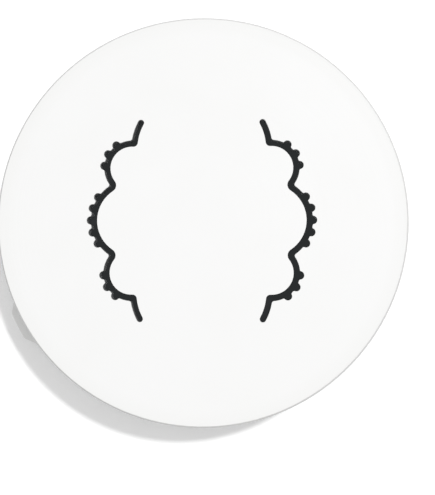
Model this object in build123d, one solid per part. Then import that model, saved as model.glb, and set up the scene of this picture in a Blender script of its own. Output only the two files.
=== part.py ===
from build123d import *
from math import atan2, cos, degrees, hypot, radians, sin, sqrt, tan
import os

# Shaping disc of a home pasta extruder: one piece of white acetal, turned and milled.
# It lies on the rim of its rear collar with the front face up. The origin is on the disc's
# axis, in the plane of that rim, and +Z points out of the front face. Sizes in millimetres.

# Front plate
plate_radius = 45.0
plate_thickness = 10.0
face_edge_bevel = 0.4
back_edge_bevel = 0.6

# Rear collar, which centres the disc in the mouth of the machine
collar_radius = 35.0
collar_wall = 3.5
collar_length = 6.0
collar_lead_in = 0.8
chamber_corner_bevel = 1.0

# Centre boss with a blind bore for the pin on the end of the extruder screw
boss_radius = 8.0
boss_set_back = 1.0
bore_radius = 4.1
bore_depth = 10.0
edge_break = 0.5

# Alignment lug on the rear part of the plate's edge: a low trapezoid
lug_angle = 209.4
lug_reach = 3.0
lug_tip_width = 5.9
lug_flank_angle = 58.0
lug_thickness = 4.0
lug_corner_round = 1.2

# Slot: a band of even width, on a wide middle lobe and a smaller lobe on each side of it
slot_width = 1.4
slot_inset = 3.0
middle_lobe_radius = 8.45
side_lobe_radius = 5.45
side_lobe_step = 0.15
side_lobe_spacing = 11.5
side_lobe_end_angle = 95.5
inner_notch_round = 1.5
outer_notch_round = 0.5

# Tail at each end of the slot: a short, slightly curved run with a round tip
tail_radius = 12.0
tail_length = 4.85
tail_start_angle = 5.2
elbow_round = 0.95
throat_round = 0.5

# Teeth: round knobs along the outer wall of the slot, which press ridges into the pasta
tooth_radius = 0.92
tooth_height = 0.92
tooth_pitch = 2.7
middle_teeth = 5
side_teeth = 3
side_teeth_angle = 30.2
tooth_valley_round = 0.3

# Inlet trough behind each slot, and the land in front of it that gives the dough its form
land_thickness = 3.0
trough_margin = 2.4
trough_mouth_bevel = 0.8

# How far a cut runs past the face, and how near to a corner a found corner has to lie
overrun = 1.0
near = 0.01

# Heights above the rim, and radii, that follow from the sizes above
shoulder_z = collar_length
face_z = shoulder_z + plate_thickness
land_z = face_z - land_thickness
boss_end_z = boss_set_back
chamber_radius = collar_radius - collar_wall
floor_radius = chamber_radius - chamber_corner_bevel

# The slot stands in from the chamber's wall by its inset and the reach of the trough's mouth
half_width = slot_width / 2
trough_depth = land_z - shoulder_z
mouth_reach = half_width + trough_margin + trough_mouth_bevel
middle_centre = (floor_radius - slot_inset - mouth_reach - middle_lobe_radius, 0.0)
side_centre = (middle_centre[0] + side_lobe_step, side_lobe_spacing)


def polar(centre, radius, angle):
    """Point at a radius and an angle in degrees from a centre."""
    turn = radians(angle)
    return (centre[0] + radius * cos(turn), centre[1] + radius * sin(turn))


def bearing(centre, point):
    """Angle in degrees at which a point is seen from a centre."""
    return degrees(atan2(point[1] - centre[1], point[0] - centre[0]))


def circles_cross(first, first_radius, second, second_radius):
    """Where two circles cross, on the right of the line from the first centre to the second."""
    run_x = second[0] - first[0]
    run_y = second[1] - first[1]
    gap = hypot(run_x, run_y)
    along = (first_radius**2 - second_radius**2 + gap**2) / (2 * gap)
    aside = sqrt(first_radius**2 - along**2)
    foot_x = first[0] + along * run_x / gap
    foot_y = first[1] + along * run_y / gap
    return (foot_x + aside * run_y / gap, foot_y - aside * run_x / gap)


# Ends and centres of the slot's arcs, where one run meets the next
side_lobe_end = polar(side_centre, side_lobe_radius, side_lobe_end_angle)
tail_centre = polar(side_lobe_end, tail_radius, 180 + tail_start_angle)
tail_end_angle = tail_start_angle + degrees(tail_length / tail_radius)
tail_end = polar(tail_centre, tail_radius, tail_end_angle)


def walls_cross(first, first_radius, second, second_radius, offset_out):
    """Where the walls of two arcs of the slot cross, at an offset from their middle lines."""
    return circles_cross(first, first_radius + offset_out, second, second_radius + offset_out)


inner_notch = walls_cross(
    middle_centre, middle_lobe_radius, side_centre, side_lobe_radius, -half_width
)
outer_notch = walls_cross(
    middle_centre, middle_lobe_radius, side_centre, side_lobe_radius, half_width
)
elbow = walls_cross(side_centre, side_lobe_radius, tail_centre, tail_radius, -half_width)
throat = walls_cross(side_centre, side_lobe_radius, tail_centre, tail_radius, half_width)


def disc_at(centre, radius):
    """Flat round face."""
    return Pos(centre[0], centre[1]) * Circle(radius)


def arc_band(centre, radius, start, end):
    """Flat band of the slot's width along an arc, between two angles."""
    inner = radius - half_width
    outer = radius + half_width
    edges = Curve() + [
        CenterArc(centre, outer, start, end - start),
        Line(polar(centre, outer, end), polar(centre, inner, end)),
        CenterArc(centre, inner, start, end - start),
        Line(polar(centre, inner, start), polar(centre, outer, start)),
    ]
    return make_face(edges)


def mirrored(sketch):
    """A flat shape together with its mirror image below the X axis."""
    return sketch + mirror(sketch, about=Plane.XZ)


def plain_slot():
    """Slot with sharp corners and no teeth: the bands run into each other and are trimmed."""
    middle_end = bearing(middle_centre, inner_notch)
    side_start = bearing(side_centre, inner_notch)
    side_end = side_lobe_end_angle + degrees(2 * slot_width / side_lobe_radius)
    tail_start = tail_start_angle - degrees(2 * slot_width / tail_radius)
    middle = arc_band(middle_centre, middle_lobe_radius, -middle_end, middle_end)
    side = arc_band(side_centre, side_lobe_radius, side_start, side_end)
    tail = arc_band(tail_centre, tail_radius, tail_start, tail_end_angle)
    tip = disc_at(tail_end, half_width)
    middle_core = disc_at(middle_centre, middle_lobe_radius - half_width)
    side_core = disc_at(side_centre, side_lobe_radius - half_width)
    tail_core = disc_at(tail_centre, tail_radius - half_width)
    return middle + mirrored(side + tail + tip) - middle_core - mirrored(side_core + tail_core)


def round_corners(sketch, point, radius):
    """Round the corner nearest to a point, and the same corner of the mirror image."""
    for side in (1, -1):
        corner = sketch.vertices().sort_by_distance((point[0], side * point[1], 0))[0]
        sketch = fillet(corner, radius)
    return sketch


def rounded_slot():
    """Slot without teeth, with its notches, elbows and throats rounded."""
    slot = round_corners(plain_slot(), inner_notch, inner_notch_round)
    slot = round_corners(slot, outer_notch, outer_notch_round)
    slot = round_corners(slot, elbow, elbow_round)
    return round_corners(slot, throat, throat_round)


def tooth_row(centre, lobe_radius, row_angle, count):
    """Round knobs along a lobe's outer wall, one tooth pitch apart."""
    wall_radius = lobe_radius + half_width
    knob_radius = wall_radius + tooth_height - tooth_radius
    step = degrees(tooth_pitch / wall_radius)
    first = row_angle - step * (count - 1) / 2
    knobs = Sketch()
    for number in range(count):
        knobs += disc_at(polar(centre, knob_radius, first + number * step), tooth_radius)
    return knobs


def toothed_slot():
    """Whole outline of one slot, with the valley on each side of a tooth rounded."""
    smooth = rounded_slot()
    old_corners = [vertex.center() for vertex in smooth.vertices()]
    slot = smooth + tooth_row(middle_centre, middle_lobe_radius, 0, middle_teeth)
    slot += mirrored(tooth_row(side_centre, side_lobe_radius, side_teeth_angle, side_teeth))
    valleys = []
    for vertex in slot.vertices():
        if min((vertex.center() - corner).length for corner in old_corners) > near:
            valleys.append(vertex)
    return fillet(valleys, tooth_valley_round)


def turned_blank():
    """Plate, collar, chamber and boss, turned as one section."""
    section = Polyline(
        (0, face_z),
        (plate_radius, face_z),
        (plate_radius, shoulder_z),
        (collar_radius, shoulder_z),
        (collar_radius, 0),
        (chamber_radius, 0),
        (chamber_radius, shoulder_z),
        (boss_radius, shoulder_z),
        (boss_radius, boss_end_z),
        (0, boss_end_z),
        close=True,
    )
    bevels = [
        (plate_radius, face_z, face_edge_bevel),
        (plate_radius, shoulder_z, back_edge_bevel),
        (collar_radius, 0, collar_lead_in),
        (chamber_radius, 0, edge_break),
        (chamber_radius, shoulder_z, chamber_corner_bevel),
        (boss_radius, shoulder_z, chamber_corner_bevel),
        (boss_radius, boss_end_z, edge_break),
    ]
    face = make_face(section)
    for reach, height, length in bevels:
        corner = face.vertices().sort_by_distance((reach, height, 0))[0]
        face = chamfer(corner, length)
    return revolve(Rot(90, 0, 0) * face, axis=Axis.Z)


def alignment_lug():
    """Trapezoid with rounded corners, rooted well inside the plate's edge."""
    tip_half = lug_tip_width / 2
    base_half = tip_half + lug_reach * tan(radians(lug_flank_angle))
    tip_x = plate_radius + lug_reach
    base_x = sqrt(plate_radius**2 - base_half**2)
    root_x = plate_radius - 2 * lug_reach
    outline = Polyline(
        (root_x, -base_half),
        (base_x, -base_half),
        (tip_x, -tip_half),
        (tip_x, tip_half),
        (base_x, base_half),
        (root_x, base_half),
        close=True,
    )
    face = round_corners(make_face(outline), (tip_x, tip_half), lug_corner_round)
    return Pos(0, 0, shoulder_z) * Rot(0, 0, lug_angle) * extrude(face, lug_thickness)


def blind_bore():
    """Hole from the end of the boss, with the edge of its mouth broken."""
    hole = extrude(Circle(bore_radius), bore_depth)
    mouth = extrude(Circle(bore_radius + edge_break), edge_break, taper=45)
    return Pos(0, 0, boss_end_z) * (hole + mouth)


def slot_cut():
    """Toothed slot through the land and out of the front face."""
    return Pos(0, 0, land_z) * extrude(toothed_slot(), land_thickness + overrun)


def trough_cut():
    """Straight-walled inlet trough that follows the slot, with a bevelled mouth.

    The bevel's cut runs on past the trough's wall, so that the two meet in a clean edge.
    """
    roof = offset(plain_slot(), amount=trough_margin)
    mouth = offset(plain_slot(), amount=trough_margin + trough_mouth_bevel)
    trough = Pos(0, 0, shoulder_z) * extrude(roof, trough_depth)
    bevel = Pos(0, 0, shoulder_z) * extrude(mouth, 2 * trough_mouth_bevel, taper=45)
    return trough + bevel


def pasta_disc():
    """Whole disc as one solid."""
    passage = trough_cut() + slot_cut()
    body = turned_blank() + alignment_lug() - blind_bore()
    return body - passage - mirror(passage, about=Plane.YZ)


os.makedirs("parts", exist_ok=True)
export_step(pasta_disc(), "parts/pasta_disc.step")
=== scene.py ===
import math

import bpy
from mathutils import Matrix, Vector


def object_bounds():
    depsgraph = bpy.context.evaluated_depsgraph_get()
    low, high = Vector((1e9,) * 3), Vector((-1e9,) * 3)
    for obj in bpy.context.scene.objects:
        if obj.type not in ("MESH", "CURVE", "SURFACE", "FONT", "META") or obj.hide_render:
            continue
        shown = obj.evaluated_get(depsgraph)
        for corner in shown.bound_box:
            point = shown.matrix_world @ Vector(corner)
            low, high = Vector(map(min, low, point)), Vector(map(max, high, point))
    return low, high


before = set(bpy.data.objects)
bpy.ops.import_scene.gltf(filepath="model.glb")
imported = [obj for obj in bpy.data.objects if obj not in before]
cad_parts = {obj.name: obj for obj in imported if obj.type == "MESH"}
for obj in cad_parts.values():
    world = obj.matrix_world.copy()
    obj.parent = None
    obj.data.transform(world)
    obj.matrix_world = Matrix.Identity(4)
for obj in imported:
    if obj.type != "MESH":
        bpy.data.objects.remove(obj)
cadBox = [list(corner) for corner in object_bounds()]
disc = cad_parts["pasta_disc"]
scene = bpy.context.scene
mm = 0.001  # the scene is in metres
print("frame loaded:", ", ".join(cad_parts))


def linearColour(hexColour):  # sRGB hex to the linear values that a shader takes
    channels = [int(hexColour[i:i + 2], 16) / 255 for i in (1, 3, 5)]
    return [c / 12.92 if c <= 0.04045 else ((c + 0.055) / 1.055) ** 2.4 for c in channels] + [1.0]


def addNode(tree, kind, inputs=None, **settings):  # a node with its settings, values and links
    node = tree.nodes.new(kind)
    for name, value in settings.items():
        setattr(node, name, value)
    for key, value in (inputs or {}).items():
        if isinstance(value, bpy.types.NodeSocket):
            tree.links.new(value, node.inputs[key])
        else:
            node.inputs[key].default_value = value
    return node


def newMaterial(name):
    material = bpy.data.materials.new(name)
    material.use_nodes = True
    material.node_tree.nodes.clear()
    return material


# camera
camera = {
    "eye": (10.11, -16.16, 195.12),  # mm, nearly straight above the face
    "aim": (3.53, -5.99, 16.0),      # mm, the point of the face at the middle of the picture
    "roll": 0.07,                    # degrees
    "lens": 59.96,                   # mm on a 36 mm sensor along the picture's long side
}


def makeCamera(settings):
    data = bpy.data.cameras.new("camera")
    data.lens = settings["lens"]
    data.sensor_width = 36
    data.clip_start = 0.01
    data.clip_end = 20
    obj = bpy.data.objects.new("camera", data)
    scene.collection.objects.link(obj)
    eye, aim = (Vector(settings[k]) * mm for k in ("eye", "aim"))
    back = (eye - aim).normalized()
    right = Vector((0, 1, 0)).cross(back).normalized()  # +Y of the disc is up in the picture
    turn = Matrix((right, back.cross(right), back)).transposed()
    turn = turn @ Matrix.Rotation(math.radians(settings["roll"]), 3, "Z")
    obj.matrix_world = Matrix.Translation(eye) @ turn.to_4x4()
    scene.camera = obj


makeCamera(camera)
print("camera ready")


# white acetal, turned on a lathe and milled
acetalLook = {
    "body": "#F4F4F4",        # clean opaque white
    "depth": "#F1F1F0",       # slightly greyer clouds, as in any thick piece of this plastic
    "cloudSize": 16,          # mm
    "edge": "#F0F0EF",        # painted shade: the face a touch greyer towards its edge, where it rounds off and takes less light
    "edgeFrom": 41,           # mm from the axis, where that begins
    "edgeTo": 44.6,           # mm from the axis, where it is full
    "bevel": "#D8D8D7",       # painted shade: bevels a little greyer than the faces beside them
    "slotPaintedShade": "#7E8081",    # painted shade: the walls of the slots greyer, where light is lost between them
    "slotFade": 0.8,          # mm below the face at which that tone is full
    "slotDepth": 2.95,        # mm below the face to which it goes on, just short of the troughs
    "slotReach": 40,          # mm from the axis: every slot wall is nearer, the plate's edge is not
    "cutLine": 1.0,           # mm between cutting lines; the real feed is about 0.1, too fine to show
    "cutDepth": 0.1,          # mm, also deeper than the real ones
    "frontCut": 0.08,         # share of that depth left on the front by its fine last cut
    "grainSize": 0.22,        # mm, the dull tooth of a cut plastic surface
    "grainDepth": 0.003,      # mm
    "faceRoughness": 0.50,    # smoother where the last cut was fine
    "backRoughness": 0.60,    # the back and the insides are left as they come off the tool
}


def acetalMaterial(look):  # satin white with faint rings: it scatters light softly, with a broad dull sheen
    material = newMaterial("acetalTurnedAndMilled")
    tree = material.node_tree
    place = addNode(tree, "ShaderNodeTexCoord").outputs["Object"]
    parts = addNode(tree, "ShaderNodeSeparateXYZ", {0: place})
    flatPlace = addNode(tree, "ShaderNodeCombineXYZ", {0: parts.outputs[0], 1: parts.outputs[1]})
    radius = addNode(tree, "ShaderNodeVectorMath", {0: flatPlace.outputs[0]}, operation="LENGTH")
    normal = addNode(tree, "ShaderNodeNewGeometry").outputs["Normal"]
    facing = addNode(tree, "ShaderNodeSeparateXYZ", {0: normal}).outputs[2]
    level = addNode(tree, "ShaderNodeMath", {0: facing}, operation="ABSOLUTE")
    isFlat = addNode(tree, "ShaderNodeMath", {0: level.outputs[0], 1: 0.5}, operation="GREATER_THAN")

    # cutting lines: rings by radius on flat faces, rings by height on walls
    line = addNode(tree, "ShaderNodeMix", {
        "Factor": isFlat.outputs[0], "A": parts.outputs[2], "B": radius.outputs["Value"],
    }, data_type="FLOAT")
    lines = addNode(tree, "ShaderNodeTexNoise", {
        "W": line.outputs[0], "Scale": 1 / (look["cutLine"] * mm), "Detail": 2, "Roughness": 0.6,
    }, noise_dimensions="1D")
    grain = addNode(tree, "ShaderNodeTexNoise", {
        "Vector": place, "Scale": 1 / (look["grainSize"] * mm), "Detail": 3,
    })
    clouds = addNode(tree, "ShaderNodeTexNoise", {
        "Vector": place, "Scale": 1 / (look["cloudSize"] * mm), "Detail": 3, "Distortion": 0.4,
    })
    colour = addNode(tree, "ShaderNodeMix", {
        "Factor": clouds.outputs["Fac"],
        "A": linearColour(look["body"]), "B": linearColour(look["depth"]),
    }, data_type="RGBA")

    # painted shade: the face edge and the bevels a little greyer, and the walls of the slots much greyer
    edgeShadeMask = addNode(tree, "ShaderNodeMapRange", {
        "Value": radius.outputs["Value"],
        "From Min": look["edgeFrom"] * mm, "From Max": look["edgeTo"] * mm,
    })
    # painted shade towards the face edge
    edged = addNode(tree, "ShaderNodeMix", {
        "Factor": edgeShadeMask.outputs[0], "A": colour.outputs[2], "B": linearColour(look["edge"]),
    }, data_type="RGBA")
    slope = addNode(tree, "ShaderNodeMath", {0: level.outputs[0], 1: math.cos(math.pi / 4), 2: 0.15},
                    operation="COMPARE")
    # painted shade on faces that slope at about 45 degrees, the bevels
    bevelled = addNode(tree, "ShaderNodeMix", {
        "Factor": slope.outputs[0], "A": edged.outputs[2], "B": linearColour(look["bevel"]),
    }, data_type="RGBA")
    faceHeight = cadBox[1][2]
    sunk = addNode(tree, "ShaderNodeMapRange", {
        "Value": parts.outputs[2], "From Min": faceHeight - look["slotFade"] * mm, "From Max": faceHeight,
        "To Min": 1.0, "To Max": 0.0,
    })
    inLand = addNode(tree, "ShaderNodeMath", {
        0: parts.outputs[2], 1: faceHeight - look["slotDepth"] * mm,
    }, operation="GREATER_THAN")
    inside = addNode(tree, "ShaderNodeMath", {
        0: radius.outputs["Value"], 1: look["slotReach"] * mm,
    }, operation="LESS_THAN")
    inPlate = addNode(tree, "ShaderNodeMath", {0: inLand.outputs[0], 1: inside.outputs[0]}, operation="MULTIPLY")
    slotShadeMask = addNode(tree, "ShaderNodeMath", {0: sunk.outputs[0], 1: inPlate.outputs[0]}, operation="MULTIPLY")
    # painted shade on the slots' walls, from just below the face down to the troughs
    shaded = addNode(tree, "ShaderNodeMix", {
        "Factor": slotShadeMask.outputs[0], "A": bevelled.outputs[2], "B": linearColour(look["slotPaintedShade"]),
    }, data_type="RGBA")

    # the front face is smoother than the rest
    isFront = addNode(tree, "ShaderNodeMath", {0: facing, 1: 0.5}, operation="GREATER_THAN")
    base = addNode(tree, "ShaderNodeMapRange", {
        "Value": isFront.outputs[0], "To Min": look["backRoughness"], "To Max": look["faceRoughness"],
    })
    roughness = addNode(tree, "ShaderNodeMath", {
        0: lines.outputs["Fac"], 1: 0.08, 2: base.outputs[0],
    }, operation="MULTIPLY_ADD")
    cutShare = addNode(tree, "ShaderNodeMapRange", {
        "Value": isFront.outputs[0], "To Min": 1.0, "To Max": look["frontCut"],
    })
    cut = addNode(tree, "ShaderNodeBump", {
        "Height": lines.outputs["Fac"], "Distance": look["cutDepth"] * mm, "Strength": cutShare.outputs[0],
    })
    skin = addNode(tree, "ShaderNodeBump", {
        "Height": grain.outputs["Fac"], "Distance": look["grainDepth"] * mm, "Strength": 1.0,
        "Normal": cut.outputs[0],
    })
    shader = addNode(tree, "ShaderNodeBsdfPrincipled", {
        "Base Color": shaded.outputs[2], "Roughness": roughness.outputs[0], "IOR": 1.48,
        "Normal": skin.outputs[0],
    })
    addNode(tree, "ShaderNodeOutputMaterial", {"Surface": shader.outputs[0]})
    return material


disc.data.materials.clear()
disc.data.materials.append(acetalMaterial(acetalLook))
print("disc dressed")


# floor, world and lamp
floorLook = {
    "size": 3000,             # mm
    "seen": "#FAFAFA",        # white paper as the camera sees it
    "lift": 0.13,             # share of white added for the camera, so that the open floor is plain white
    "bounced": "#E6E6E6",     # what it throws back on the disc
}
shadeSheetLook = {
    "radius": 31,             # mm, just inside the collar
    "height": 0.05,           # mm above the floor
    "sheetShade": "#1C1D1F",        # painted shade: a dark tone seen only through the slots
    "sheetGlow": "#2B2D2E",       # painted glow: the least tone that the camera sees in it
}
lampLook = {
    "zenithLevel": 0.78,      # the sky straight above, where 1 is white
    "horizonLevel": 0.24,     # the sky at the horizon: edges that turn outwards go a little grey
    "keyLevel": 0.455,        # share of full white that the key lamp gives a level surface
    "keyBearing": 42,         # degrees from +X towards +Y: the shadow falls to the lower left
    "keyElevation": 60.8,     # degrees above the floor
    "keySpread": 4.5,         # degrees across, as seen from the disc
}


def levelPiece(name, corners, material):  # one flat face that lies on the floor
    mesh = bpy.data.meshes.new(name)
    mesh.from_pydata(corners, [], [range(len(corners))])
    mesh.materials.append(material)
    obj = bpy.data.objects.new(name, mesh)
    scene.collection.objects.link(obj)


def makeFloor(look):
    half = look["size"] * mm / 2
    material = newMaterial("paperMattWhite")
    tree = material.node_tree
    seen = addNode(tree, "ShaderNodeLightPath").outputs["Is Camera Ray"]
    colour = addNode(tree, "ShaderNodeMix", {
        "Factor": seen, "A": linearColour(look["bounced"]), "B": linearColour(look["seen"]),
    }, data_type="RGBA")
    lift = addNode(tree, "ShaderNodeMath", {0: seen, 1: look["lift"]}, operation="MULTIPLY")
    paper = addNode(tree, "ShaderNodeBsdfDiffuse", {"Color": colour.outputs[2]})
    glow = addNode(tree, "ShaderNodeEmission", {"Strength": lift.outputs[0]})
    both = addNode(tree, "ShaderNodeAddShader", {0: paper.outputs[0], 1: glow.outputs[0]})
    addNode(tree, "ShaderNodeOutputMaterial", {"Surface": both.outputs[0]})
    levelPiece("floor", [(-half, -half, 0), (half, -half, 0), (half, half, 0), (-half, half, 0)], material)


def makeShadeSheet(look):  # a dark sheet under the disc paints shade into the slots
    material = newMaterial("paintedShadeMatte")
    tree = material.node_tree
    sheetShade = addNode(tree, "ShaderNodeBsdfDiffuse", {"Color": linearColour(look["sheetShade"])})
    sheetGlow = addNode(tree, "ShaderNodeEmission", {"Color": linearColour(look["sheetGlow"])})
    both = addNode(tree, "ShaderNodeAddShader", {0: sheetShade.outputs[0], 1: sheetGlow.outputs[0]})
    addNode(tree, "ShaderNodeOutputMaterial", {"Surface": both.outputs[0]})
    turns = [math.radians(angle) for angle in range(0, 360, 5)]
    radius = look["radius"] * mm
    rim = [(radius * math.cos(a), radius * math.sin(a), look["height"] * mm) for a in turns]
    levelPiece("shadeUnderSlots", rim, material)


def makeWorld(look):
    world = bpy.data.worlds.new("world")
    world.use_nodes = True
    tree = world.node_tree
    tree.nodes.clear()
    ray = addNode(tree, "ShaderNodeLightPath")
    direction = addNode(tree, "ShaderNodeTexCoord").outputs["Generated"]
    height = addNode(tree, "ShaderNodeSeparateXYZ", {0: direction}).outputs[2]
    dome = addNode(tree, "ShaderNodeMapRange", {
        "Value": height, "To Min": look["horizonLevel"], "To Max": look["zenithLevel"],
    })
    strength = addNode(tree, "ShaderNodeMix", {
        "Factor": ray.outputs["Is Camera Ray"], "A": dome.outputs[0], "B": 1.0,
    }, data_type="FLOAT")
    sky = addNode(tree, "ShaderNodeBackground", {
        "Color": (1, 1, 1, 1), "Strength": strength.outputs[0],
    })
    addNode(tree, "ShaderNodeOutputWorld", {"Surface": sky.outputs[0]})
    scene.world = world


def makeKeyLamp(look):  # a far, wide lamp: even over the whole floor, with a soft edge to its shadow
    elevation, bearing = (math.radians(look[k]) for k in ("keyElevation", "keyBearing"))
    away = Vector((
        math.cos(elevation) * math.cos(bearing),
        math.cos(elevation) * math.sin(bearing),
        math.sin(elevation),
    ))
    data = bpy.data.lights.new("keyLamp", "SUN")
    data.angle = math.radians(look["keySpread"])
    data.energy = look["keyLevel"] * math.pi / away.z  # a white surface at this level sends back keyLevel
    obj = bpy.data.objects.new("keyLamp", data)
    obj.location = away
    obj.rotation_mode = "QUATERNION"
    obj.rotation_quaternion = away.to_track_quat("Z", "Y")
    scene.collection.objects.link(obj)


makeFloor(floorLook)
makeShadeSheet(shadeSheetLook)
makeWorld(lampLook)
makeKeyLamp(lampLook)
scene.view_settings.view_transform = "Standard"
print("stage ready")
